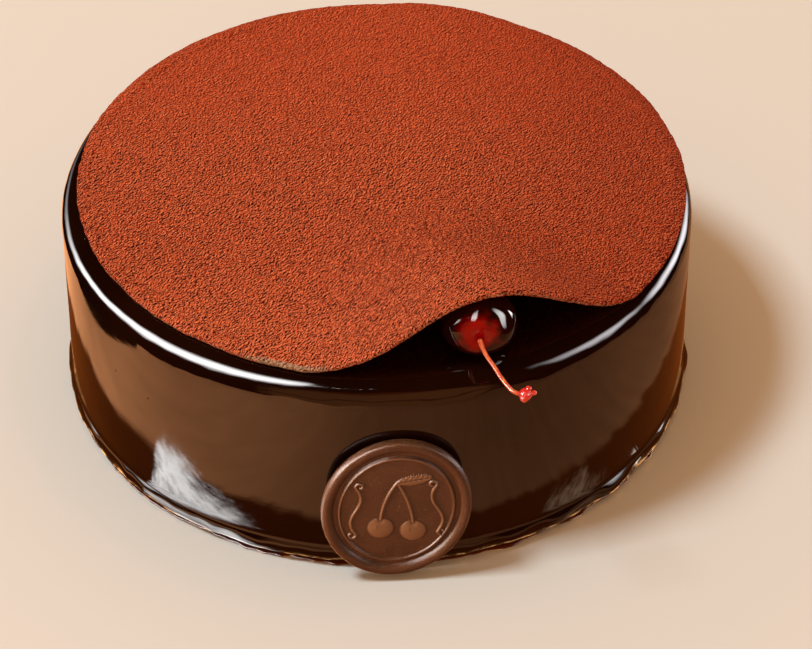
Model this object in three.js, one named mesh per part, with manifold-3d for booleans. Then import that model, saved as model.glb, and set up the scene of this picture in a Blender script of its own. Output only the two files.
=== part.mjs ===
// A round chocolate cake under a dark mirror glaze. A thin cocoa-dusted disc lies on top, lifted
// in one wave by a cherry on its stem, and an oval chocolate seal leans on the front of the wall.
// Millimetres, +Z up. The origin is the middle of the flat face that the cake stands on, and -Y
// is the front, where the seal stands.

import * as THREE from 'three';
import { mergeVertices } from 'three/addons/utils/BufferGeometryUtils.js';
import Module from 'manifold-3d';

const wasm = await Module();
wasm.setup();

const DEGREES = Math.PI / 180;
const CLEAR = 0.3;                     // air left between pieces that touch
const SHOULDER_CLEAR = 0.55;           // more air where flat facets bridge the round shoulder

// The glazed cake: a 180 mm ring mould's worth of cake with its glaze.
const CAKE_RADIUS = 90.5;
const CAKE_HEIGHT = 66;
const SHOULDER_RADIUS = 8;             // round edge between the wall and the top
const FOOT_RADIUS = 88.3;              // the flat face underneath
const BEAD_RADIUS = 91.5;              // the glaze that ran down and gathered at the foot
const BEAD_HEIGHT = 4.2;
const BEAD_TOP = 13;                   // where the bead has melted into the wall
const CAKE_FACETS = 96;
const WALL_ROWS = 4;

// The cocoa disc: a thin soft sheet, cut round, a little off the cake's middle.
const DISC_RADIUS = 86.8;
const DISC_THICKNESS = 1.6;
const DISC_OFFSET = { x: 1.5, y: 0.6 };
const DISC_FACETS = 90;
const DISC_RINGS = 12;
const EDGE_ROUND = 0.45;               // softened corner of the cut edge
const EDGE_SAG = { drop: 1.7, width: 11 };

// The wave in the disc, along its edge. Angles are in degrees, and -90 is the front.
const WAVE_CREST_ANGLE = -71.5;
const WAVE_LIFT = 21.6;
const WAVE_LEFT = { span: 38, sharpness: 1.55 };
const WAVE_RIGHT = { span: 36.5, sharpness: 1 };
const WAVE_START = 0.2;                // share of the radius where the disc leaves the cake
const WAVE_BEND = 72 * DEGREES;        // how far the slope eases off towards the edge
const WAVE_RISE = 1.3;
const WAVE_DRAW_IN = 2;                // the lifted edge comes in by this much
const WAVE_NARROWING = 0.55;           // 1 keeps its width, 0 makes it a cone

// Two slow swells in the back edge of the disc.
const EDGE_SWELLS = [
  { angle: 77, height: 1.6, span: 22 },
  { angle: 112, height: -0.9, span: 26 },
];

// The cherry lies on its side on the glaze, with its stem pointing out of the wave.
const CHERRY_RADIUS = 9.6;
const CHERRY_BREADTH = 1.09;           // it is a little wider than it is high
const CHERRY_LENGTH = 17.6;
const CHERRY_PLACE = new THREE.Vector3(27.2, -74.6, CAKE_HEIGHT + CLEAR + CHERRY_RADIUS);
const CHERRY_YAW = 2 * DEGREES;
const DIMPLE = { depth: 2.3, spread: 20 * DEGREES };
const CHERRY_FACETS = 32;
const CHERRY_ROWS = 18;

// The stem: a thin curved stalk that thickens a little at its root and ends in a lumpy knob.
const STEM_RADIUS = 0.55;
const STEM_SIDES = 8;
const STEM_STEPS = 22;
const STEM_PATH = [
  [27.3, -81.7, 75.2],
  [28.1, -85.0, 74.8],
  [29.2, -87.9, 74.5],
  [30.9, -91.3, 74.1],
  [32.4, -94.4, 73.4],
  [34.3, -97.4, 72.6],
  [36.0, -99.1, 72.0],
  [38.6, -99.6, 71.4],
];
const KNOB_LUMPS = [
  { at: [38.9, -99.2, 71.3], radius: 1.75 },
  { at: [39.7, -98.6, 72.7], radius: 0.9 },
  { at: [41.2, -98.9, 71.6], radius: 0.8 },
  { at: [38.5, -100.2, 70.7], radius: 1.1 },
];

// The seal: an oval moulded chocolate, a little higher than wide.
const SEAL_RADIUS = 20.65;             // half the width
const SEAL_THICKNESS = 3.4;            // over the crown of the rim
const SEAL_RIM = 3.4;
const SEAL_RING_RADIUS = 15.75;        // thin raised line round the field
const SEAL_RING_WIDTH = 0.9;
const SEAL_FIELD_HEIGHT = 2.1;
const SEAL_GROOVE_HEIGHT = 1.7;
const SEAL_STRETCH = { height: 1.145, lean: -12 * DEGREES };
const SEAL_FACETS = 72;
const SEAL_ANGLE = -87.05 * DEGREES;
const SEAL_TILT = 3 * DEGREES;         // how far its top leans back
const SEAL_BACK_RADIUS = 92.15;        // its back face, from the cake's axis, at mid height
const SEAL_MID_HEIGHT = 25.3;

// The picture pressed into the seal's field: a pair of cherries between two scrolls.
const RELIEF = 0.75;
const FRUIT = [
  { x: -4.4, y: -6.3, radius: 3.7 },
  { x: 4.5, y: -7.6, radius: 3.7 },
];
const SPRIG_TIP = new THREE.Vector2(0.2, 9.4);
const LEAF = { x: 4.9, y: 10.2, length: 10.4, width: 4.2, turn: 10 * DEGREES };
const SCROLL = { x: 11.2, height: 17, swing: 1.5, radius: 0.45 };
const LINE_RADIUS = 0.45;

// --- the forms that the pieces share ---

const raisedCosine = (share) => (Math.abs(share) < 1 ? (1 + Math.cos(Math.PI * share)) / 2 : 0);

// A profile of (radius, height) points, bottom to top, turned round the Z axis.
function turned(profile, facets) {
  return new THREE.LatheGeometry(profile, facets).rotateX(Math.PI / 2);
}

function reshaped(geometry, move) {
  const places = geometry.attributes.position;
  const point = new THREE.Vector3();
  for (let i = 0; i < places.count; i += 1) {
    move(point.fromBufferAttribute(places, i));
    places.setXYZ(i, point.x, point.y, point.z);
  }
  return geometry;
}

function welded(geometry) {
  const shape = geometry.clone();
  shape.deleteAttribute('normal');
  shape.deleteAttribute('uv');
  const merged = mergeVertices(shape, 1e-4);
  merged.computeVertexNormals();
  return merged;
}

function solidOf(geometry) {
  const shape = welded(geometry);
  const corners = [];
  const { array } = shape.index;
  for (let i = 0; i < array.length; i += 3) {
    const [a, b, c] = array.slice(i, i + 3);
    if (a !== b && b !== c && c !== a) corners.push(a, b, c);
  }
  return new wasm.Manifold(new wasm.Mesh({
    numProp: 3,
    vertProperties: new Float32Array(shape.attributes.position.array),
    triVerts: new Uint32Array(corners),
  }));
}

function joined(geometries) {
  const mesh = geometries.map(solidOf).reduce((whole, part) => whole.add(part)).getMesh();
  const geometry = new THREE.BufferGeometry();
  geometry.setAttribute('position', new THREE.BufferAttribute(mesh.vertProperties, 3));
  geometry.setIndex(new THREE.BufferAttribute(mesh.triVerts, 1));
  geometry.computeVertexNormals();
  return geometry;
}

// A tube of a few sides along a curve. radiusAt takes the share of the way along.
function tube(curve, radius, sides, steps, radiusAt = () => 1) {
  const circle = Array.from({ length: sides }, (_, i) => {
    const angle = (2 * Math.PI * i) / sides;
    return new THREE.Vector2(radius * Math.cos(angle), radius * Math.sin(angle));
  });
  const geometry = new THREE.ExtrudeGeometry(new THREE.Shape(circle), {
    extrudePath: curve, steps, bevelEnabled: false,
  });
  const rings = curve.getSpacedPoints(steps);
  return reshaped(geometry, (point) => {
    let nearest = 0;
    rings.forEach((ring, i) => {
      if (ring.distanceTo(point) < rings[nearest].distanceTo(point)) nearest = i;
    });
    point.sub(rings[nearest]).multiplyScalar(radiusAt(nearest / steps)).add(rings[nearest]);
  });
}

function ball(place, radius, facets = 10, rows = 6) {
  return new THREE.SphereGeometry(radius, facets, rows).translate(...place);
}

function finish(color, roughness, metalness = 0) {
  return new THREE.MeshStandardMaterial({ color, roughness, metalness });
}

// --- the glazed cake ---

// The poured glaze isn't quite even: slow waves in the wall, and a bead that swells in places.
function wallWave(angle, height) {
  const fade = raisedCosine(Math.min(1, Math.max(0, (height - 40) / 18)));
  return fade * (0.14 * Math.sin(3 * angle + 0.6) + 0.1 * Math.sin(7 * angle + height / 9));
}

function beadWave(angle, height) {
  const nearness = raisedCosine((height - BEAD_HEIGHT) / (BEAD_TOP - BEAD_HEIGHT));
  return nearness * (0.42 * Math.sin(5 * angle + 1.2) + 0.3 * Math.sin(13 * angle + 0.5));
}

function glazedCake() {
  const shoulderHeight = CAKE_HEIGHT - SHOULDER_RADIUS;
  const profile = new THREE.Path();
  profile.moveTo(0, 0);
  profile.lineTo(FOOT_RADIUS, 0);
  profile.quadraticCurveTo(BEAD_RADIUS - 1.3, 0.9, BEAD_RADIUS, BEAD_HEIGHT);
  profile.quadraticCurveTo(BEAD_RADIUS + 0.1, BEAD_TOP - 4.5, CAKE_RADIUS + 0.2, BEAD_TOP);
  for (let row = 1; row <= WALL_ROWS; row += 1) {
    profile.lineTo(CAKE_RADIUS, BEAD_TOP + ((shoulderHeight - BEAD_TOP) * row) / WALL_ROWS);
  }
  profile.absarc(CAKE_RADIUS - SHOULDER_RADIUS, shoulderHeight, SHOULDER_RADIUS, 0, Math.PI / 2);
  profile.lineTo(0, CAKE_HEIGHT);

  return reshaped(turned(profile.getPoints(3), CAKE_FACETS), (point) => {
    const radius = Math.hypot(point.x, point.y);
    if (radius < FOOT_RADIUS + 0.5 || point.z > shoulderHeight) return;
    const angle = Math.atan2(point.y, point.x);
    const grown = (radius + wallWave(angle, point.z) + beadWave(angle, point.z)) / radius;
    point.x *= grown;
    point.y *= grown;
  });
}

// --- the cocoa disc ---

// The lowest that the disc can lie over a point: above the flat top, then round the shoulder.
function lowestRest(x, y) {
  const past = Math.hypot(x, y) - (CAKE_RADIUS - SHOULDER_RADIUS);
  if (past <= 0) return CAKE_HEIGHT + CLEAR;
  const reach = SHOULDER_RADIUS + SHOULDER_CLEAR;
  return CAKE_HEIGHT - SHOULDER_RADIUS + Math.sqrt(Math.max(0, reach ** 2 - past ** 2));
}

// The wave is as wide in millimetres further in, so it takes a wider angle there.
function waveAcross(share, angle) {
  const turn = (angle / DEGREES - WAVE_CREST_ANGLE) * share ** WAVE_NARROWING;
  const side = turn < 0 ? WAVE_LEFT : WAVE_RIGHT;
  return raisedCosine(turn / side.span) ** side.sharpness;
}

function waveOutwards(share) {
  const way = Math.max(0, (share - WAVE_START) / (1 - WAVE_START));
  return (Math.sin(WAVE_BEND * way) / Math.sin(WAVE_BEND)) ** WAVE_RISE;
}

// The underside of the disc over a point at this radius and angle from the disc's own middle.
function discUnderside(radius, angle) {
  const share = radius / DISC_RADIUS;
  const wave = waveAcross(share, angle);
  const drawn = radius - WAVE_DRAW_IN * wave * share ** 2;
  const x = DISC_OFFSET.x + drawn * Math.cos(angle);
  const y = DISC_OFFSET.y + drawn * Math.sin(angle);

  const nearEdge = Math.max(0, 1 - (DISC_RADIUS - radius) / EDGE_SAG.width);
  let rest = CAKE_HEIGHT + CLEAR - EDGE_SAG.drop * nearEdge ** 2;
  for (const swell of EDGE_SWELLS) {
    const away = (angle / DEGREES - swell.angle) / swell.span;
    rest += swell.height * raisedCosine(away) * Math.max(0, share * 3 - 2);
  }
  const z = Math.max(rest, lowestRest(x, y)) + WAVE_LIFT * wave * waveOutwards(share);
  return new THREE.Vector3(x, y, z);
}

// A point of the sheet, a given height above its underside, measured square to the sheet.
function discPoint(radius, angle, above) {
  const step = 0.5;
  const base = discUnderside(radius, angle);
  const outwards = discUnderside(radius + step, angle).sub(discUnderside(radius - step, angle));
  const along = discUnderside(radius, angle + step / DISC_RADIUS)
    .sub(discUnderside(radius, angle - step / DISC_RADIUS));
  const normal = outwards.cross(along).normalize();
  return base.addScaledVector(normal, above);
}

function cocoaDisc() {
  const rings = Array.from({ length: DISC_RINGS }, (_, i) => {
    const share = (i + 1) / DISC_RINGS;
    return (DISC_RADIUS - EDGE_ROUND) * (WAVE_START + (1 - WAVE_START) * share ** 0.6);
  });
  const profile = [
    new THREE.Vector2(0, 0),
    ...rings.map((radius) => new THREE.Vector2(radius, 0)),
    new THREE.Vector2(DISC_RADIUS, EDGE_ROUND),
    new THREE.Vector2(DISC_RADIUS, DISC_THICKNESS - EDGE_ROUND),
    ...rings.reverse().map((radius) => new THREE.Vector2(radius, DISC_THICKNESS)),
    new THREE.Vector2(0, DISC_THICKNESS),
  ];
  return reshaped(turned(profile, DISC_FACETS), (point) => {
    const radius = Math.hypot(point.x, point.y);
    if (radius < 1) point.set(DISC_OFFSET.x, DISC_OFFSET.y, CAKE_HEIGHT + CLEAR + point.z);
    else point.copy(discPoint(radius, Math.atan2(point.y, point.x), point.z));
  });
}

// --- the cherry and its stem ---

// Turned round its own axis, with the stem's dimple at the +Z end, then laid on its side.
function cherry() {
  const profile = Array.from({ length: CHERRY_ROWS + 1 }, (_, row) => {
    const fromTop = Math.PI * (1 - row / CHERRY_ROWS);
    const sunk = DIMPLE.depth * Math.exp(-((fromTop / DIMPLE.spread) ** 2));
    const radius = CHERRY_RADIUS * Math.sin(fromTop);
    return new THREE.Vector2(Math.max(0, radius),
      (CHERRY_LENGTH / 2) * Math.cos(fromTop) - sunk);
  });
  profile[0].x = 0;
  profile[CHERRY_ROWS].x = 0;
  return turned(profile, CHERRY_FACETS)
    .rotateX(Math.PI / 2)
    .scale(CHERRY_BREADTH, 1, 1)
    .rotateZ(CHERRY_YAW)
    .translate(...CHERRY_PLACE.toArray());
}

function cherryStem() {
  const curve = new THREE.CatmullRomCurve3(STEM_PATH.map((at) => new THREE.Vector3(...at)));
  const flare = (share) => 1 + 0.35 * Math.exp(-share * 9) + 0.15 * share ** 4;
  return joined([
    tube(curve, STEM_RADIUS, STEM_SIDES, STEM_STEPS, flare),
    ...KNOB_LUMPS.map((lump) => ball(lump.at, lump.radius)),
  ]);
}

// --- the seal ---

function sealBlank() {
  const grooveRadius = SEAL_RADIUS - SEAL_RIM;
  const ringOuter = SEAL_RING_RADIUS + SEAL_RING_WIDTH / 2;
  const ringInner = SEAL_RING_RADIUS - SEAL_RING_WIDTH / 2;
  const crown = new THREE.CubicBezierCurve(
    new THREE.Vector2(SEAL_RADIUS, 1.1),
    new THREE.Vector2(SEAL_RADIUS + 0.05, SEAL_THICKNESS - 0.3),
    new THREE.Vector2(grooveRadius + 1.5, SEAL_THICKNESS + 0.6),
    new THREE.Vector2(grooveRadius, SEAL_GROOVE_HEIGHT),
  );
  const profile = [
    new THREE.Vector2(0, 0),
    new THREE.Vector2(SEAL_RADIUS - 1, 0),
    ...crown.getPoints(7),
    new THREE.Vector2(ringOuter, SEAL_GROOVE_HEIGHT),
    new THREE.Vector2(SEAL_RING_RADIUS, SEAL_FIELD_HEIGHT + 0.55),
    new THREE.Vector2(ringInner, SEAL_FIELD_HEIGHT),
    new THREE.Vector2(0, SEAL_FIELD_HEIGHT),
  ];
  return turned(profile, SEAL_FACETS)
    .rotateZ(-SEAL_STRETCH.lean)
    .scale(1, SEAL_STRETCH.height, 1)
    .rotateZ(SEAL_STRETCH.lean);
}

// A raised line on the seal's field through points given in the field's plane.
function raisedLine(points, radius, steps) {
  const onField = points.map(([x, y]) => new THREE.Vector3(x, y, SEAL_FIELD_HEIGHT + 0.1));
  return tube(new THREE.CatmullRomCurve3(onField), radius, 6, steps);
}

function sealPicture() {
  const fruit = FRUIT.map(({ x, y, radius }) => (
    new THREE.SphereGeometry(radius, 20, 8).rotateX(Math.PI / 2)
      .scale(1, 1, RELIEF / radius).translate(x, y, SEAL_FIELD_HEIGHT)
  ));
  const stems = FRUIT.map(({ x, y, radius }) => raisedLine([
    [x, y + radius - 0.6],
    [x * 0.72, (y + radius + SPRIG_TIP.y) / 2],
    [SPRIG_TIP.x, SPRIG_TIP.y],
  ], LINE_RADIUS, 8));
  const leaf = new THREE.SphereGeometry(1, 16, 8)
    .scale(LEAF.length / 2, LEAF.width / 2, RELIEF)
    .rotateZ(LEAF.turn).translate(LEAF.x, LEAF.y, SEAL_FIELD_HEIGHT);
  const scrolls = [-1, 1].map((side) => raisedLine(
    Array.from({ length: 9 }, (_, i) => {
      const share = i / 4 - 1;
      return [
        side * (SCROLL.x - SCROLL.swing * Math.sin(Math.PI * share)),
        (SCROLL.height / 2) * share,
      ];
    }),
    SCROLL.radius,
    24,
  ));
  return [...fruit, ...stems, leaf, ...scrolls];
}

function chocolateSeal() {
  return joined([sealBlank(), ...sealPicture()])
    .rotateX(Math.PI / 2 - SEAL_TILT)
    .rotateZ(SEAL_ANGLE + Math.PI / 2)
    .translate(
      SEAL_BACK_RADIUS * Math.cos(SEAL_ANGLE),
      SEAL_BACK_RADIUS * Math.sin(SEAL_ANGLE),
      SEAL_MID_HEIGHT,
    );
}

// --- the whole ---

const pieces = {
  glazed_cake: [welded(glazedCake()), finish(0x2a1408, 0.08)],
  cocoa_disc: [welded(cocoaDisc()), finish(0xa8482a, 0.95)],
  cherry: [welded(cherry()), finish(0x5c0f0c, 0.12)],
  cherry_stem: [cherryStem(), finish(0xd83a1e, 0.4)],
  chocolate_seal: [chocolateSeal(), finish(0x64402a, 0.45)],
};

const cake = new THREE.Group();
for (const [name, [geometry, material]] of Object.entries(pieces)) {
  const mesh = new THREE.Mesh(geometry, material);
  mesh.name = name;
  cake.add(mesh);
}

export default cake;
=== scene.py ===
# A round chocolate cake under a dark mirror glaze. A cocoa-velvet disc lies on top, lifted in one wave by a
# cherry on its stem, and an oval chocolate seal leans on the wall. Metres; -Y is the front.

import math

import bmesh
import bpy
from mathutils import Matrix, Vector, noise


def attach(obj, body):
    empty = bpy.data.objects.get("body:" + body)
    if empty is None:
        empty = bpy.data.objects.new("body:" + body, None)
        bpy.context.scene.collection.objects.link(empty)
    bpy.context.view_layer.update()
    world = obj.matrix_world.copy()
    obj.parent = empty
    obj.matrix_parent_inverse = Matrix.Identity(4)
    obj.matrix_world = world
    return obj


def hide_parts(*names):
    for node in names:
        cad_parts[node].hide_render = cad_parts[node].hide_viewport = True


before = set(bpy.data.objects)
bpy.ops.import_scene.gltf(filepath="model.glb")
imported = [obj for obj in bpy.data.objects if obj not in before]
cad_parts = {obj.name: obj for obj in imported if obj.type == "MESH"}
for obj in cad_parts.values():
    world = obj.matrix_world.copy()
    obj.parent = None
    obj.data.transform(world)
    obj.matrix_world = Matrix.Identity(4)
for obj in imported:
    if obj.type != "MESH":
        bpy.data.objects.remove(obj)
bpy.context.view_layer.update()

# ---- the table and its light ----
# A pale peach table top in soft daylight from high on the left. What the shiny pieces mirror is made apart:
# a bright window on the left and a dimmer one on the right draw the lines of light along the glaze's
# shoulder, and the warm sheen and bright patches of the table top show low on its wall.

scene = bpy.context.scene
scene.view_settings.view_transform = "Standard"
MM = 0.001

camera_data = bpy.data.cameras.new("camera")
camera_data.lens = 155.2
camera_data.sensor_width = 36
camera_data.clip_start = 0.05
camera = bpy.data.objects.new("camera", camera_data)
camera.location = (0, -0.7948, 0.6794)
camera.rotation_euler = (math.radians(49.997), 0, math.radians(-0.607))
scene.collection.objects.link(camera)
scene.camera = camera


class Value:
    """What a shader socket carries. Arithmetic on it adds Math nodes."""

    def __init__(self, recipe, socket):
        self.recipe = recipe
        self.socket = socket

    def other(self, name):
        return Value(self.recipe, self.socket.node.outputs[name])

    def math(self, operation, *others):
        return self.recipe.math(operation, self, *others)

    def __add__(self, other):
        return self.math("ADD", other)

    def __sub__(self, other):
        return self.math("SUBTRACT", other)

    def __rsub__(self, other):
        return self.recipe.math("SUBTRACT", other, self)

    def __mul__(self, other):
        return self.math("MULTIPLY", other)

    def __truediv__(self, other):
        return self.math("DIVIDE", other)

    def __pow__(self, other):
        return self.math("POWER", other)

    __radd__ = __add__
    __rmul__ = __mul__

    def between(self, low, high, start=0.0, end=1.0):
        """Rises smoothly from start at low to end at high."""
        places = {0: self, 1: low, 2: high, 3: start, 4: end}
        return self.recipe.node("ShaderNodeMapRange", {"interpolation_type": "SMOOTHSTEP"}, places)


class Recipe:
    """The nodes of a material or of the sky."""

    def __init__(self, owner):
        self.owner = owner
        owner.use_nodes = True
        self.tree = owner.node_tree
        self.tree.nodes.clear()

    def node(self, kind, settings=(), inputs=(), output=0):
        made = self.tree.nodes.new(kind)
        for name, value in dict(settings).items():
            setattr(made, name, value)
        for name, value in dict(inputs).items():
            if isinstance(value, Value):
                self.tree.links.new(value.socket, made.inputs[name])
            else:
                made.inputs[name].default_value = value
        return Value(self, made.outputs[output]) if made.outputs else None

    def math(self, operation, *values):
        return self.node("ShaderNodeMath", {"operation": operation}, enumerate(values))

    def mix(self, share, first, second):
        return self.node("ShaderNodeMix", {"data_type": "RGBA"}, {0: share, 6: first, 7: second}, 2)

    def place(self, longer=(1, 1, 1), turn=0.0, moved=(0, 0, 0)):
        """The point on the piece, in metres. A pattern there is moved, turned about Z and drawn out."""
        here = self.node("ShaderNodeTexCoord", output="Object")
        return self.node("ShaderNodeMapping", {"vector_type": "TEXTURE"}, {
            "Vector": here, "Location": moved, "Rotation": (0, 0, turn), "Scale": longer,
        })

    def grain(self, where, size, detail=2.0, roughness=0.5, distortion=0.0):
        """Noise from 0 to 1, with lumps about size metres across."""
        return self.node("ShaderNodeTexNoise", {}, {
            "Vector": where, "Scale": 1 / size, "Detail": detail, "Roughness": roughness,
            "Distortion": distortion,
        })


def colour(red, green, blue):
    return (red, green, blue, 1.0)


def shown(name, mesh):
    made = bpy.data.objects.new(name, mesh)
    scene.collection.objects.link(made)
    return made


def finished(name, shape, recipe):
    """Turns a bmesh into an object with smooth faces and a material."""
    mesh = bpy.data.meshes.new(name)
    shape.to_mesh(mesh)
    shape.free()
    mesh.shade_smooth()
    mesh.materials.append(recipe.owner)
    return shown(name, mesh)


TABLE_COLOUR = (0.80, 0.615, 0.474)
SKY_SEEN = (0.84, 0.645, 0.497)

paper = Recipe(bpy.data.materials.new("pale paper"))
paper_fibre = paper.grain(paper.place(), 0.004, 3)
paper_tone = paper.mix(paper_fibre, colour(*[c * 0.995 for c in TABLE_COLOUR]), colour(*TABLE_COLOUR))
paper_skin = paper.node("ShaderNodeBsdfPrincipled", {}, {
    "Base Color": paper_tone, "Roughness": 0.9, "Specular IOR Level": 0.1,
})
paper.node("ShaderNodeOutputMaterial", {}, {"Surface": paper_skin})

table_shape = bmesh.new()
bmesh.ops.create_circle(table_shape, cap_ends=True, segments=96, radius=6.0)
table = finished("table", table_shape, paper)
table.visible_glossy = False

sky = bpy.data.worlds.new("daylight")
scene.world = sky
air = Recipe(sky)
ray = air.node("ShaderNodeLightPath", output="Is Camera Ray")
towards = air.node("ShaderNodeTexCoord", output="Generated")
sideways = air.node("ShaderNodeSeparateXYZ", {}, {"Vector": towards})
ahead = sideways.other("Y").between(-0.76, -0.84)
upwards = sideways.other("Z")
room = air.mix(upwards.between(0.40, 0.56), colour(0.85, 0.31, 0.11), colour(0.36, 0.08, 0.012))
horizon = upwards.between(-0.06, -0.01) * upwards.between(0.05, 0.0)
room = air.mix(horizon * 0.8, room, colour(0.05, 0.01, 0.003))
mirrored = air.mix(ahead, colour(0.006, 0.004, 0.003), room)
ambient = air.mix(ray.other("Is Glossy Ray"), colour(0.64, 0.455, 0.29), mirrored)
seen = air.mix(ray, ambient, colour(*SKY_SEEN))
glow = air.node("ShaderNodeBackground", {}, {"Color": seen, "Strength": 1.0})
air.node("ShaderNodeOutputWorld", {}, {"Surface": glow})

daylight_data = bpy.data.lights.new("daylight", "AREA")
daylight_data.shape = "SQUARE"
daylight_data.size = 0.8
daylight_data.energy = 149
daylight_data.color = (0.541, 0.783, 1.0)
daylight = shown("daylight", daylight_data)
daylight.location = (-1.882, -0.469, 3.498)
daylight.rotation_euler = (-daylight.location).to_track_quat("-Z", "Y").to_euler()
daylight.visible_camera = False
daylight.visible_glossy = False


def seen_in_gloss(name, shape, light, tint, strength, clearness=0.0):
    """A studio panel that is seen in shiny surfaces alone, and adds no light to the matt ones.

    At a clearness of 0 it hides what is behind it, and at 1 that shows through it as well.
    """
    bounces = light.node("ShaderNodeLightPath", output="Diffuse Depth")
    unbounced = bounces.between(0.9, 0.1)
    shine = light.node("ShaderNodeEmission", {}, {"Color": tint, "Strength": unbounced * strength})
    let_through = light.mix(clearness, colour(0, 0, 0), colour(1, 1, 1))
    clear = light.node("ShaderNodeBsdfTransparent", {}, {"Color": let_through})
    both = light.node("ShaderNodeAddShader", {}, {0: clear, 1: shine})
    light.node("ShaderNodeOutputMaterial", {}, {"Surface": both})
    panel = finished(name, shape, light)
    panel.visible_camera = False
    panel.visible_diffuse = False
    panel.visible_transmission = False
    panel.visible_shadow = False
    return panel


def hump(share):
    """1 in the middle, 0 at and beyond -1 and 1."""
    return (1 + math.cos(math.pi * share)) / 2 if abs(share) < 1 else 0.0


DRUM_RADIUS = 0.7
DRUM_MIDDLE = 0.06
BAND_STEPS = 6
BAND_ROWS = 12


def on_drum(azimuth, rise):
    """A point on an upright drum round the cake, at an angle above its middle, both in degrees."""
    turn = math.radians(azimuth)
    height = DRUM_MIDDLE + DRUM_RADIUS * math.tan(math.radians(rise))
    return (DRUM_RADIUS * math.sin(turn), -DRUM_RADIUS * math.cos(turn), height)


def band(name, ends, point_at):
    """A sheet through (azimuth, lowest, highest, brightness), which fades out to its long edges."""
    shape = bmesh.new()
    soft = shape.verts.layers.float.new("soft")
    columns = []
    for first, second in zip(ends, ends[1:]):
        for step in range(BAND_STEPS):
            columns.append([start + (end - start) * step / BAND_STEPS for start, end in zip(first, second)])
    grid = []
    for azimuth, low, high, brightness in [*columns, ends[-1]]:
        column = []
        for row in range(BAND_ROWS + 1):
            corner = shape.verts.new(point_at(azimuth, low + (high - low) * row / BAND_ROWS))
            corner[soft] = brightness * hump(2 * row / BAND_ROWS - 1) ** 0.7
            column.append(corner)
        grid.append(column)
    for left, right in zip(grid, grid[1:]):
        for row in range(BAND_ROWS):
            shape.faces.new((left[row], right[row], right[row + 1], left[row + 1]))
    light = Recipe(bpy.data.materials.new(name))
    return shape, light, light.node("ShaderNodeAttribute", {"attribute_name": "soft"}, output="Fac")


def window(name, ends, strength, tint, dimmest=0.62, blind=0.013):
    """A window beside the cake. Where it is dimmer than dimmest, things in the room break it up."""
    shape, light, fade = band(name, ends, on_drum)
    blinds = light.grain(light.place(), blind, 2)
    fade = fade * (fade * 1.3 + blinds).between(dimmest, dimmest + 0.1)
    return seen_in_gloss(name, shape, light, colour(*tint), fade * strength, 1.0)


left_window = window("left_window", [
    (-155, -24, -7, 0.0), (-142, -19, -5, 0.03), (-131, -17, -2, 0.08), (-118, -14, 2, 0.35),
    (-107, -11, 7, 0.9), (-95, -8, 13, 1.3), (-80, -4, 24, 1.4), (-60, 2, 40, 1.6), (-46, 11, 48, 1.6),
    (-38, 19, 52, 1.5), (-31, 27, 55, 1.3), (-27, 33, 54, 1.0), (-23.5, 40, 50, 0.0),
], strength=23, tint=(1, 0.98, 0.97), dimmest=0.36)
window("left_flecks", [
    (-27, 32, 50, 0.30), (-20, 36, 51, 0.30), (-10, 39, 52, 0.25), (3, 42, 53, 0.22), (12, 46, 52, 0.0),
], strength=60, tint=(1, 0.97, 0.94), dimmest=0.93, blind=0.030)
right_window = window("right_window", [
    (50, 18, 34, 0.0), (58, 9, 29, 0.45), (68, 0, 23, 0.85), (80, -5, 16, 0.9), (88, -8, 11, 0.5),
    (92, -8, 9, 0.25), (98, -10, 12, 0.9), (112, -15, 8, 1.0), (125, -18, 3, 0.6), (140, -20, -2, 0.0),
], strength=13.5, tint=(1, 0.94, 0.97), dimmest=0.40)

# The table top as the glaze mirrors it: brown close to the cake, pale gold further out and brightest on
# the left, with a broken bright ring right under the lip.
table_sheen = Recipe(bpy.data.materials.new("table sheen"))
spot_x = table_sheen.node("ShaderNodeSeparateXYZ", {}, {"Vector": table_sheen.place()})
spot_y = spot_x.other("Y")
from_cake = (spot_x * spot_x + spot_y * spot_y) ** 0.5
brightness = 0.62 + spot_x.between(0.10, 0.0) * 0.35 + spot_x.between(0.01, -0.08) * 1.25
brightness = brightness * spot_y.between(-0.05, 0.0, 1.0, 0.65)
brushed = table_sheen.grain(table_sheen.place((1, 6, 1), math.radians(30)), 0.006, 3)
brightness = brightness * (0.8 + brushed * 0.4)
ragged = from_cake + brushed * 0.006
open_table = ragged.between(0.110, 0.114)
sheen = table_sheen.mix(open_table, colour(0.25, 0.056, 0.009), colour(1.0, 0.40, 0.16))
sheen_level = 1 + open_table * (brightness - 1)
under_lip = from_cake.between(0.0945, 0.0930)
broken = table_sheen.grain(table_sheen.place(), 0.0045, 3, 0.7).between(0.46, 0.60)
in_front = spot_y.between(-0.010, -0.050, 0.12, 1.0)
sheen = table_sheen.mix(under_lip, sheen, colour(1.0, 0.46, 0.15))
sheen_level = sheen_level * (1 - under_lip * 0.7) + under_lip * broken * in_front * (
    3.0 + spot_x.between(0.03, -0.06) * 1.4)
sheen_shape = bmesh.new()
sheen_place = Matrix.Translation((0.0225, -0.025, 0.00005)) @ Matrix.Diagonal((0.305, 0.45, 1, 1))
bmesh.ops.create_grid(sheen_shape, x_segments=1, y_segments=1, size=0.5, matrix=sheen_place)
seen_in_gloss("table_sheen", sheen_shape, table_sheen, sheen, sheen_level)

WALL_SEEN = 0.0905
VIEW_SLOPE = math.tan(math.radians(42))
GLINT_HEIGHT = 0.0001


def on_table(azimuth, height):
    """The point of the table that the front view finds in the wall, at that height in millimetres."""
    turn = math.radians(azimuth)
    away = height * MM / VIEW_SLOPE
    x = WALL_SEEN * math.sin(turn) + away * math.sin(2 * turn)
    y = -WALL_SEEN * math.cos(turn) - away * math.cos(2 * turn)
    return (x, y, GLINT_HEIGHT)


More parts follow.
